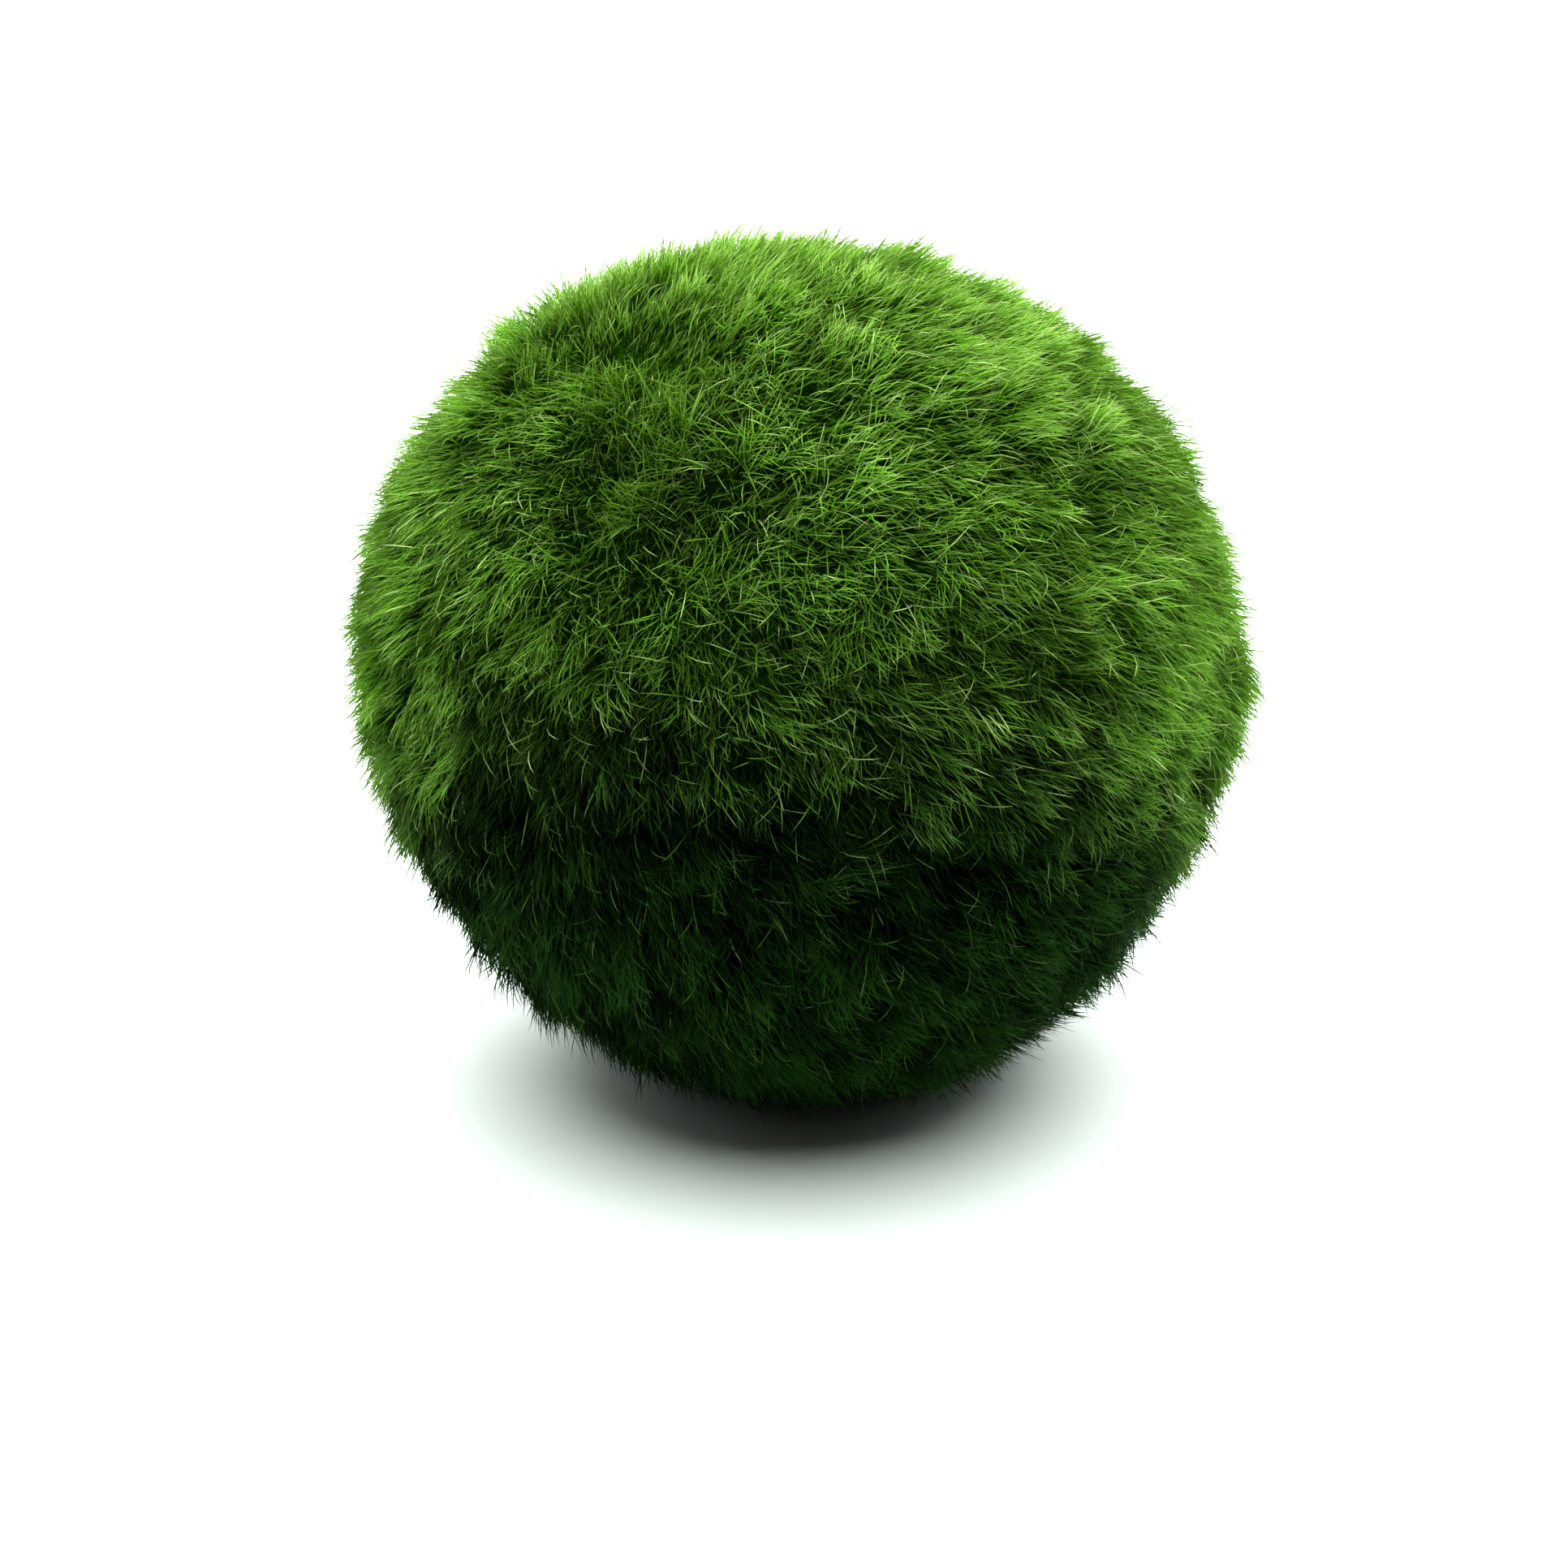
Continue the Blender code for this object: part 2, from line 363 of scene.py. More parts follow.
THICKNESS = (0.8, 1.15)       # how much the filaments of a kind differ in thickness
SPIN = 2.4                    # how far each is turned on its own axis from the last, in radians
CELL_SIDE = 0.12              # the margins of a filament's cell in the UV map, as shares of it
CELL_END = 0.06
LOWEST = 0.00012              # the least that a filament stays above the floor
LOWEST_SPREAD = 0.0003        # and how much more it may be

# Their colours, from the root, which is old and has painted shade, to the tip, which is fresh
# growth, and the deep green painted shade of filaments where the painted light is low. The other
# filaments share them.
ROOT = (0.0060, 0.0280, 0.0004, 1)
LOWER = (0.0200, 0.0940, 0.0012, 1)
UPPER = (0.0780, 0.2350, 0.0055, 1)
TIP = (0.2500, 0.3600, 0.0950, 1)
# dry, pale tips, which also stand for painted highlights
DRY_AND_HIGHLIGHT = (0.4000, 0.4500, 0.2100, 1)
# painted shade: the deep green that filaments go to where the painted light is low
PAINTED_SHADE_ROOT = (0.0003, 0.0015, 0.0002, 1)
PAINTED_SHADE_TIP = (0.0110, 0.0450, 0.0052, 1)
SHINE_THROUGH = (0.350, 0.580, 0.050, 1)
GROWTH_AND_SHADE_STOPS = (0.0, 0.42, 0.76, 1.0)
PAINTED_SHADE_STOPS = (0.2, 1.0)
# Painted light: where it is high, filaments are painted paler and more alike, and tips catch more
# of it than roots.
PAINTED_OPEN_SKY = (0.018, 0.042)     # painted light levels between which the filaments are painted paler and more alike
PAINTED_SHADE_LIFT = 0.006            # how much higher up the painted light counts a light filament than a dark one
PAINTED_TIP_LIFT = 0.004              # and a tip than a root, so that tips catch more painted light
PAINTED_LIFT_MIDDLE = 0.6             # the share of the way up at which that neither lifts nor lowers
PAINTED_SKY_GROWTH = 0.24             # how far the painted open sky brings a root's colour toward the tip's
TONE_SPREAD = (0.70, 0.44)    # how much filaments differ, and how much of it the painted open sky takes
BRIGHTNESS = (0.34, 1.32)     # of the darkest shade, and what the lightest has on top
SHINE_SHARE = (0.05, 0.55)    # what shines through at a tip in the painted shade, and what full painted light adds
CELLS = 5200                  # how fine the noise is that roughens a filament
ROUGHNESS = (0.32, 0.25)      # of its smoothest cell, and what the roughest has on top
GLOSS = 0.012                 # how strongly it reflects, where a plain surface has 0.5

# The way the filaments lie. They fan out from a few crowns and fall away from partings. Round
# the first crown, on the best side, they stand up in a tangle.
CROWNS = (
    # direction as (right, front, up), pull
    ((-0.38, 0.70, 0.61), 0.42),
    ((-0.60, 0.14, 0.79), 1.00),
    ((0.55, -0.70, 0.45), 0.40),
    ((-0.62, -0.75, -0.10), 0.36),
    ((0.30, -0.60, -0.75), 0.24),
)
CROWN_REACH = 0.9             # the angle over which a crown's pull fades, in radians
CROWN_CALM = 0.15             # the angle round a crown in which it sets in
CROWN_CORE = 0.19             # and the angle round a crown in which the filaments stand up
LEAN = (0.45, 0.0, -0.36)     # a weak pull on every filament, as X, Y and Z
TANGLE = (-0.22, 0.76, 0.61)  # the middle of the tangle
TANGLE_SPREAD = 0.42          # how far it reaches, in radians

# Painted shade and painted light: patches where the locks are painted darker, as if in shadow, or
# lighter, as if in light.
PAINTED_SHADINGS = (
    # direction as (right, front, up), spread in radians, how much painted shade the locks have
    # there
    ((-0.38, 0.72, 0.58), 0.24, 0.40),       # the middle of the tangle
    ((-0.40, 0.44, 0.80), 0.26, 0.30),
    ((-0.10, 0.66, 0.74), 0.24, 0.16),
    ((0.01, 0.84, 0.55), 0.12, 0.20),
    ((-0.48, 0.87, 0.03), 0.18, 0.38),       # over the dark underside
    ((-0.19, 0.98, 0.07), 0.13, 0.50),
    ((0.01, 0.99, -0.14), 0.20, 0.26),
    ((0.32, 0.92, 0.22), 0.21, 0.44),
    ((0.60, 0.78, 0.19), 0.20, 0.15),
    ((0.42, 0.27, 0.87), 0.14, 0.18),
    ((0.36, 0.69, 0.63), 0.05, 0.30),        # painted shadows in small gaps under the ends of tufts
    ((0.25, 0.83, 0.50), 0.05, 0.20),
    ((0.82, 0.36, 0.43), 0.07, 0.35),
    ((0.83, 0.48, 0.26), 0.06, 0.35),
    ((0.05, 0.99, 0.10), 0.18, -0.46),       # and painted light, where the locks are lighter
    ((-0.19, 0.90, 0.40), 0.18, -0.42),
    ((0.36, 0.93, 0.00), 0.16, -0.14),
    ((0.05, 0.40, 0.92), 0.25, -0.50),
    ((0.22, 0.72, 0.66), 0.26, -0.36),
    ((-0.78, -0.01, 0.63), 0.22, -0.30),
    ((0.83, 0.55, 0.08), 0.22, -0.60),
    ((0.30, -0.80, 0.52), 0.30, 0.20),       # on the back
    ((-0.75, -0.60, 0.25), 0.28, 0.18),
    ((0.90, -0.40, 0.10), 0.26, 0.18),
)

PARTINGS = (
    # direction as (right, front, up), half width in radians
    (-0.38, 0.38, 0.84, 0.080),
    (-0.27, 0.48, 0.83, 0.060),
    (0.04, 0.65, 0.76, 0.060),
    (0.10, 0.35, 0.93, 0.040),
    (-0.16, 0.78, 0.60, 0.045),
    (-0.29, 0.82, 0.49, 0.040),
    (-0.33, 0.86, 0.39, 0.035),
    (-0.38, 0.70, 0.61, 0.055),
    (-0.46, 0.72, 0.52, 0.050),
    (0.62, 0.59, 0.53, 0.050),
    (-0.05, 0.97, 0.22, 0.045),
    (0.30, 0.93, -0.20, 0.055),
    (-0.60, 0.78, -0.10, 0.060),
    (0.88, 0.45, -0.12, 0.055),
    (-0.55, -0.40, 0.72, 0.060),
    (0.70, -0.60, 0.38, 0.055),
    (-0.85, -0.50, 0.10, 0.060),
    (0.15, -0.98, 0.10, 0.060),
    (0.62, -0.70, -0.35, 0.055),
    (-0.30, -0.85, -0.42, 0.060),
)
PARTING_PULL = 1.1            # how strongly the filaments fall away from a parting
PARTING_REACH = 1.6           # and how far round it, in half widths
GAP_SHORTENING = 0.45         # the share of its length that a filament in a parting loses


def direction(right, front, up):
    """A direction given by how far it goes right, to the best side and up."""
    return unit(np.array((right, -front, up)))


def along_surface(vectors, outward):
    """The part of each vector that lies in the surface: the vector less its share of outward."""
    return vectors - np.sum(vectors * outward, axis=1, keepdims=True) * outward


def away_from(place, outward):
    """Unit directions in the surface that point away from a place, and the angle to it."""
    apart = np.arccos(np.clip(outward @ place, -1, 1))
    return unit(along_surface(np.broadcast_to(-place, outward.shape), outward)), apart[:, None]


def nearness(outward, place, spread):
    """1 at a place, falling as a bell curve of the angle from it, which is 1/e at spread."""
    apart = np.arccos(np.clip(outward @ direction(*place), -1, 1))
    return np.exp(-((apart / spread) ** 2))


def tangle(outward):
    """The nearness to the middle of the tangle."""
    return nearness(outward, TANGLE, TANGLE_SPREAD)


def standing(outward):
    """The nearness to the nearest crown, where filaments stand up and point every way."""
    return np.max([nearness(outward, place, CROWN_CORE) for place, pull in CROWNS], axis=0)


def openness(outward):
    """The nearness to the middle of the nearest parting."""
    return np.max([nearness(outward, place, spread) for *place, spread in PARTINGS], axis=0)


def painted_shading(outward):
    """How much painted shade the weed has at each place, less painted light: the sum of the
    shadings' bell curves.
    """
    found = [depth * nearness(outward, place, spread) for place, spread, depth in PAINTED_SHADINGS]
    return np.sum(found, axis=0)


def combed(outward):
    """The way the filaments lie. It is the sum of LEAN and of a pull away from each crown, times
    e^(-angle / CROWN_REACH), made one long, and of a pull away from each parting, which falls as
    a bell curve. Within CROWN_CALM of a crown its pull falls to nothing."""
    lie = along_surface(np.broadcast_to(LEAN, outward.shape), outward)
    for place, pull in CROWNS:
        away, apart = away_from(direction(*place), outward)
        lie += pull * np.exp(-apart / CROWN_REACH) * np.minimum(apart / CROWN_CALM, 1) * away
    lie = unit(lie)
    for *place, spread in PARTINGS:
        away, apart = away_from(direction(*place), outward)
        lie += PARTING_PULL * np.exp(-((apart / (PARTING_REACH * spread)) ** 2)) * away
    return unit(lie)


def turned(lie, outward, angle):
    """Each lie turned in the surface: its cosine times the lie and its sine times the side."""
    angle = angle[:, None]
    return lie * np.cos(angle) + np.cross(outward, lie) * np.sin(angle)


def even_directions(count, chance, scatter):
    """Directions spread over a sphere on a spiral whose turns keep the golden angle, each then
    moved at random by about scatter radians."""
    step = np.arange(count) + 0.5
    height = 1 - 2 * step / count
    angle = step * np.pi * (3 - np.sqrt(5))
    across = np.sqrt(1 - height**2)
    spiral = np.stack([across * np.cos(angle), across * np.sin(angle), height], axis=1)
    return unit(spiral + chance.normal(0, scatter, (count, 3)))


def strokes(roots, outward, lie, length, rise, end, bow, shares):
    """Points along curved filaments. A filament sets out at the angle rise above the surface and
    ends at the angle end, its heading turning evenly between them, so its place is the root plus
    the length times (t - t^2/2) of the first heading and t^2/2 of the last. It bows sideways by
    bow times the length times t^2."""
    rise, end = np.radians(rise)[:, None], np.radians(end)[:, None]
    setting_out = np.cos(rise) * lie + np.sin(rise) * outward
    ending = np.cos(end) * lie + np.sin(end) * outward
    side = np.cross(outward, lie)
    t = shares[None, :, None]
    length = length[:, None, None]
    curve = (t - t * t / 2) * setting_out[:, None] + t * t / 2 * ending[:, None]
    return roots[:, None] + length * (curve + bow[:, None, None] * t * t * side[:, None])


def filament_mesh(name, paths, radii, along, tone, shade):
    """Closed three-sided filaments as one mesh. A filament is a point at its root, a triangle of
    corners round each inner place of its path, and a point at its tip. A corner is the place
    plus its half thickness times the cosine of the corner's angle across and the sine up. radii
    and along give each place's half thickness and its share of the way up; tone and shade are
    one number each for a filament. Each filament has its own cell in the UV map."""
    count, places = paths.shape[:2]
    rings = places - 2
    ahead = unit(paths[:, 2:] - paths[:, :-2])
    across = unit(np.cross(ahead, unit(paths[:, :1] - HEART)))
    up = np.cross(ahead, across)
    spin = np.linspace(0, 2 * np.pi, 4)[:3] + np.arange(count)[:, None] * SPIN
    cos, sin = np.cos(spin)[:, None, :, None], np.sin(spin)[:, None, :, None]
    thick = radii[:, 1:-1, None, None]
    corners = paths[:, 1:-1, None] + thick * (cos * across[:, :, None] + sin * up[:, :, None])
    each = 2 + 3 * rings
    points = np.empty((count, each, 3))
    points[:, 0] = paths[:, 0]
    points[:, 1:-1] = corners.reshape(count, 3 * rings, 3)
    points[:, -1] = paths[:, -1]

    ring = np.arange(3)
    nxt = (ring + 1) % 3
    first = np.stack([np.zeros(3, int), 1 + nxt, 1 + ring], axis=1)
    tip = 1 + 3 * (rings - 1)
    last = np.stack([tip + ring, tip + nxt, np.full(3, each - 1)], axis=1)
    lower = 1 + 3 * np.arange(rings - 1)[:, None]
    quads = np.stack([lower + ring, lower + nxt, lower + 3 + nxt, lower + 3 + ring], axis=-1)
    offset = each * np.arange(count)[:, None, None]
    triangles = (np.concatenate([first, last]) + offset).reshape(-1, 3)
    quads = (quads.reshape(-1, 4) + offset).reshape(-1, 4)
    data = mesh_of(name, points.reshape(-1, 3), [triangles, quads])

    def per_point(values):
        ringed = np.repeat(values[:, 1:-1], 3, axis=1)
        return np.concatenate([values[:, :1], ringed, values[:, -1:]], axis=1)

    ways = {
        "along": per_point(np.broadcast_to(along, (count, places))),
        "tone": np.repeat(tone[:, None], each, axis=1),
        "shade": np.repeat(shade[:, None], each, axis=1),
    }
    for label, values in ways.items():
        attribute = data.attributes.new(label, "FLOAT", "POINT")
        attribute.data.foreach_set("value", values.astype(np.float32).ravel())

    cells = int(np.ceil(np.sqrt(count)))
    column, row = np.arange(count) % cells, np.arange(count) // cells
    sideways = np.concatenate([[0.5], np.tile([0.0, 1.0, 0.5], rings), [0.5]])
    upward = ways["along"]
    u = (column[:, None] + CELL_SIDE + (1 - 2 * CELL_SIDE) * sideways[None, :]) / cells
    v = (row[:, None] + CELL_END + (1 - 2 * CELL_END) * upward) / cells
    spots = np.stack([u.ravel(), v.ravel()], axis=1)
    index = np.empty(len(data.loops), np.int32)
    data.loops.foreach_get("vertex_index", index)
    layer = data.uv_layers.new(name="OFBake")
    layer.data.foreach_set("uv", spots[index].astype(np.float32).ravel())
    return data


def above_floor(paths, chance):
    """The paths with what would pass through the floor lying just above it, each at a height of
    its own, so that they don't run into one plane."""
    lowest = LOWEST + LOWEST_SPREAD * chance.random(len(paths))[:, None]
    paths[:, :, 2] = np.maximum(paths[:, :, 2], lowest)
    return paths


def filament_finish(name, painted_shade_factor, least_light=0.0):
    """Soft green filaments that light shines through: dark at the root, partly with painted shade,
    and bright at the tip, times painted_shade_factor. The shade differs from filament to filament,
    from lock to lock and from place to place, at random and with painted shade and light. Where
    the painted light is low, on the underside and the lower part of the best side, they are
    painted deep green, but by least_light less so. Where it is high they are painted paler and
    more alike, and more light shines through them."""
    finish = Finish(bpy.data.materials.new(name))
    along = finish.node("ShaderNodeAttribute", {"attribute_name": "along"}, output=2)
    tone = finish.node("ShaderNodeAttribute", {"attribute_name": "tone"}, output=2)
    shade = finish.node("ShaderNodeAttribute", {"attribute_name": "shade"}, output=2)
    # painted light: the level, and the share of the colour that is lit rather than painted deep
    # green
    level = painted_light_level(finish, PAINTED_SHADE_LIFT * (shade - 0.5) + PAINTED_TIP_LIFT * (along - PAINTED_LIFT_MIDDLE))
    light = finish.stepped(level, PAINTED_SHADE_BELOW, PAINTED_LIGHT_ABOVE, least_light)
    painted_open_sky = finish.stepped(level, *PAINTED_OPEN_SKY)
    stops = list(zip(GROWTH_AND_SHADE_STOPS, (ROOT, LOWER, UPPER, TIP)))
    grown = along + PAINTED_SKY_GROWTH * painted_open_sky * (1 - along)
    growth_and_shade = finish.node("ShaderNodeValToRGB", {"stops": stops}, {0: grown})
    # dry, pale tips, which also stand for painted highlights
    dry_and_highlight = (tone * tone) * (tone * along)
    colour = finish.mixed(dry_and_highlight, growth_and_shade, DRY_AND_HIGHLIGHT)
    # the painted shade that the colour goes to where the painted light is low
    stops = list(zip(PAINTED_SHADE_STOPS, (PAINTED_SHADE_ROOT, PAINTED_SHADE_TIP)))
    deep = finish.node("ShaderNodeValToRGB", {"stops": stops}, {0: along})
    colour = finish.mixed(light, deep, colour)
    tone_spread = TONE_SPREAD[0] - TONE_SPREAD[1] * painted_open_sky
    lightness = BRIGHTNESS[0] + BRIGHTNESS[1] * shade
    brightness = (1 + tone_spread * (tone - 0.5)) * lightness * painted_shade_factor
    colour = finish.dimmed(colour, brightness)
    cells = finish.noise(CELLS, 2)
    bump = finish.node(
        "ShaderNodeBump", None, {"Strength": 0.35, "Distance": 0.00004, "Height": cells}
    )
    surface = finish.node(
        "ShaderNodeBsdfPrincipled",
        None,
        {
            "Base Color": colour,
            "Roughness": ROUGHNESS[0] + ROUGHNESS[1] * cells,
            "Specular IOR Level": GLOSS,
            "Normal": bump,
        },
    )
    through = finish.node("ShaderNodeBsdfTranslucent", None, {"Color": SHINE_THROUGH})
    share = (SHINE_SHARE[0] + SHINE_SHARE[1] * light) * along
    both = finish.node("ShaderNodeMixShader", None, {0: share, 1: surface, 2: through})
    finish.node("ShaderNodeOutputMaterial", None, {"Surface": both})
    return finish.owner


def grow(name, directions, paths, radii, along, tone, shade, material):
    """Makes one piece of filaments, and gives it its finish and its place on the ball. The draws
    that lay it on the floor start from the number of its filaments."""
    paths = above_floor(paths, np.random.default_rng(len(directions)))
    data = filament_mesh(name, paths, radii, along, tone, shade)
    piece = bpy.data.objects.new(name, data)
    bpy.context.scene.collection.objects.link(piece)
    data.materials.append(material)
    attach(piece, "root")
    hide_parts("moss_ball")


def grow_in_halves(name, directions, paths, radii, along, tone, shade, material):
    """Makes two pieces, of the filaments that are rooted on the front and of those on the back,
    because a piece can only hold so many."""
    on_the_front = directions[:, 1] < 0
    for half, mine in (("front", on_the_front), ("back", ~on_the_front)):
        grow(
            f"{name}_{half}",
            directions[mine],
            paths[mine],
            radii[mine],
            along,
            tone[mine],
            shade[mine],
            material,
        )


chance = np.random.default_rng(21)
short_directions = even_directions(SHORT_FILAMENTS, chance, SHORT_SCATTER)
short_tangle = tangle(short_directions)
short_turn = chance.normal(0, SHORT_TURN, SHORT_FILAMENTS)
short_turn *= 1 + short_tangle + SHORT_WILD * standing(short_directions)
short_gap = GAP_SHORTENING * openness(short_directions)
short_paths = strokes(
    HEART + short_directions * (mat_radius(short_directions)[:, None] - SHORT_ROOT),
    short_directions,
    turned(combed(short_directions), short_directions, short_turn),
    chance.uniform(*SHORT_LENGTH, SHORT_FILAMENTS) * (1 - short_gap),
    chance.uniform(*SHORT_RISE, SHORT_FILAMENTS),
    chance.uniform(*SHORT_END, SHORT_FILAMENTS),
    chance.normal(0, SHORT_BOW, SHORT_FILAMENTS),
    SHORT_ALONG,
)
short_radii = chance.uniform(*THICKNESS, (SHORT_FILAMENTS, 1)) * SHORT_TAPER
short_tone = np.clip(chance.normal(*SHORT_TONE, SHORT_FILAMENTS), 0, 1)
# painted shade in the tangle and in the painted shadings
short_shade = SHORT_SHADE - SHORT_PAINTED_SHADE_IN_TANGLE * short_tangle
short_shade -= SHORT_IN_PAINTED_SHADINGS * painted_shading(short_directions)
grow_in_halves(
    "short",
    short_directions,
    short_paths,
    SHORT_HALF_THICKNESS * short_radii,
    SHORT_ALONG * SHORT_GROWN,
    short_tone,
    short_shade,
    filament_finish("short_filaments", SHORT_PAINTED_SHADE_FACTOR),
)


# ---------------------------------------------------------------------------------------------
# The fine filaments. They make up most of the coat: thin, nearly straight filaments that grow
# out of the mat and lie loosely in their locks. They are made as two joined meshes, too.
FINE_FILAMENTS = 62000
FINE_LENGTH = (0.66, 1.08)    # as a share of their lock's
FINE_HALF_THICKNESS = 0.000041
FINE_ALONG = np.array((0.0, 0.56, 1.0))
FINE_TAPER = np.array((0.0, 1.0, 0.0))
FINE_TONE = (0.46, 0.13)      # their mean tone, and how much it varies

# The locks. The coat's filaments cling together in locks, as wet hair does. The locks lie in
# larger tufts, and wider patches of them are darker or lighter. A lock has one way to lie, one
# length and one shade of its own.
LOCKS = 2600
LOCK_SCATTER = 0.03           # how far a lock strays from its even place, in radians
LOCK_RADIUS = 0.038           # half the width of a lock, in radians
LOCK_LENGTH = (0.0030, 0.0041)
LOCK_TURN = 0.22              # how far it strays from the combed way, in radians
LOCK_RISE = (60, 84)          # the angle at which it leaves the mat, in degrees
LOCK_END = (8, 52)            # the angle to the surface at which it ends, in degrees
LOCK_BOW = 0.16               # how far it bows sideways, as a share of its length
LOCK_CLING = (0.10, 0.42)     # how far its filaments close in on it at their tips
LOCK_TONE = 0.45              # its shade, and how much that varies
LOCK_TONE_SPREAD = 0.13
TANGLE_PAINTED_SHADE = 0.22            # how much painted shade the tangle's locks have
TANGLE_END = 16               # and how much more the angles at which they end vary
STANDING_RISE = 80            # the angle at which locks that stand up leave the mat
STANDING_END = 24             # and how much less they lie down at their ends, in degrees
WILD_TURN = (3.0, 4.0)        # how many times more a lock strays in the tangle and at a crown
WILD_CLING = (0.65, 0.5)      # and the share of its filaments' clinging that is lost there

TUFTS = 480
TUFT_SCATTER = 0.06
TUFT_RADIUS = 0.09            # half the width of a tuft, in radians
TUFT_LENGTH = (0.86, 1.14)    # of its locks, as a share of their own
TUFT_TURN = 0.26              # how far its locks stray together, in radians
TUFT_RISE = 9                 # how much steeper or flatter they rise together, in degrees
TUFT_TONE = 0.17              # how much darker or lighter they are together
TUFT_SHOW = 1.15              # how strongly a tuft's own shade shows
TUFT_SHOW_LEFT = 0.35         # and how much more it does on the ball's left, or less on its right

PATCHES = 180
PATCH_SCATTER = 0.08
PATCH_SPREAD = 0.12           # how far a patch reaches, in radians
PATCH_TONE = 0.30             # how much darker or lighter it is
PATCH_SIDE = (-0.7, -0.9, 0)  # patches show most on the front's left, as X, Y and Z
PATCH_SHOW = (0.4, 1.0)       # the least and the most that one shows

IN_LOCKS_SCATTER = 0.013      # how far a filament strays from its even place, in radians
IN_LOCKS_MIXING = 0.008       # about how far past its lock's edge it may still belong to it
IN_LOCKS_ROOT = 0.0002        # how deep in the mat it is rooted
IN_LOCKS_RISE = 7             # how much its rise differs from its lock's, in degrees
IN_LOCKS_WILD = 1.8           # how many times more its lie differs from its lock's in the tangle
CLING_POWER = 1.4             # the higher this is, the nearer to its tip it closes in on its lock
FAR_OUT = 2                   # the most that the distance from a tuft's middle counts, squared
FAR_UP = 1.2                  # and the most that the distance up a tuft or lock counts
UP_THE_TUFT_RISE = 5          # how much steeper it grows toward its tuft's tip, in degrees
UP_THE_TUFT_LENGTH = 0.24     # and how much longer,
UP_THE_TUFT_PAINTED_LIGHT = 0.34      # and lighter
UP_THE_LOCK_PAINTED_LIGHT = 0.12      # how much more painted light it has toward its lock's tip
TUFT_MIDDLE_LENGTH = 1.06     # its length in the middle of a tuft, as a share of its lock's
TUFT_EDGE_LENGTH = 0.16       # and how much more painted light it has, with painted shade at the tuft's start
TANGLE_LENGTH = 0.15          # how much longer it is in the tangle
GAP_LOWERING = 12             # how much lower it leaves the mat in a parting, in degrees
GAP_PAINTED_SHADE = 0.45              # and how much painted shade it has in or over one


def nearest(outward, centres, at_once=8000):
    """The number of the centre that each direction lies nearest to, by the largest cosine."""
    found = np.empty(len(outward), int)
    for start in range(0, len(outward), at_once):
        part = outward[start : start + at_once]
        found[start : start + at_once] = np.argmax(part @ centres.T, axis=1)
    return found


chance = np.random.default_rng(11)
tuft_directions = even_directions(TUFTS, chance, TUFT_SCATTER)
tuft_turn = chance.normal(0, TUFT_TURN, TUFTS)
tuft_rise = chance.normal(0, TUFT_RISE, TUFTS)
tuft_length = chance.uniform(*TUFT_LENGTH, TUFTS)
tuft_show = TUFT_SHOW - TUFT_SHOW_LEFT * tuft_directions[:, 0]
tuft_tone = chance.normal(0, TUFT_TONE, TUFTS) * tuft_show
tuft_lie = turned(combed(tuft_directions), tuft_directions, tuft_turn)

lock_directions = even_directions(LOCKS, chance, LOCK_SCATTER)
lock_tuft = nearest(lock_directions, tuft_directions)
lock_tangle = tangle(lock_directions)
lock_standing = standing(lock_directions)
lock_wild = 1 + WILD_TURN[0] * lock_tangle + WILD_TURN[1] * lock_standing
lock_turn = chance.normal(0, LOCK_TURN, LOCKS) * lock_wild + tuft_turn[lock_tuft]
lock_lie = turned(combed(lock_directions), lock_directions, lock_turn)
lock_length = chance.uniform(*LOCK_LENGTH, LOCKS) * tuft_length[lock_tuft]
lock_rise = chance.uniform(*LOCK_RISE, LOCKS) + tuft_rise[lock_tuft]
lock_rise += (STANDING_RISE - lock_rise) * lock_standing
lock_end = chance.uniform(*LOCK_END, LOCKS)
lock_end += TANGLE_END * lock_tangle * chance.normal(0, 1, LOCKS)
lock_end += STANDING_END * lock_standing
lock_bow = chance.normal(0, LOCK_BOW, LOCKS)
lock_cling = chance.uniform(*LOCK_CLING, LOCKS)
lock_cling *= (1 - WILD_CLING[0] * lock_tangle) * (1 - WILD_CLING[1] * lock_standing)
lock_tone = LOCK_TONE + LOCK_TONE_SPREAD * chance.normal(0, 1, LOCKS)
# painted shade in the tangle and the painted shadings, on top of each lock's own tone
lock_tone += tuft_tone[lock_tuft] - TANGLE_PAINTED_SHADE * lock_tangle - painted_shading(lock_directions)

patch_directions = even_directions(PATCHES, chance, PATCH_SCATTER)
patch_show = np.clip(patch_directions @ PATCH_SIDE, *PATCH_SHOW)
patch_tone = chance.normal(0, PATCH_TONE, PATCHES) * patch_show
apart = np.arccos(np.clip(lock_directions @ patch_directions.T, -1, 1))
lock_tone += np.exp(-((apart / PATCH_SPREAD) ** 2)) @ patch_tone


def lock_paths(shares):
    """The stroke that each lock follows, from the mat to its tip."""
    roots = HEART + lock_directions * mat_radius(lock_directions)[:, None]
    return strokes(
        roots, lock_directions, lock_lie, lock_length, lock_rise, lock_end, lock_bow, shares
    )


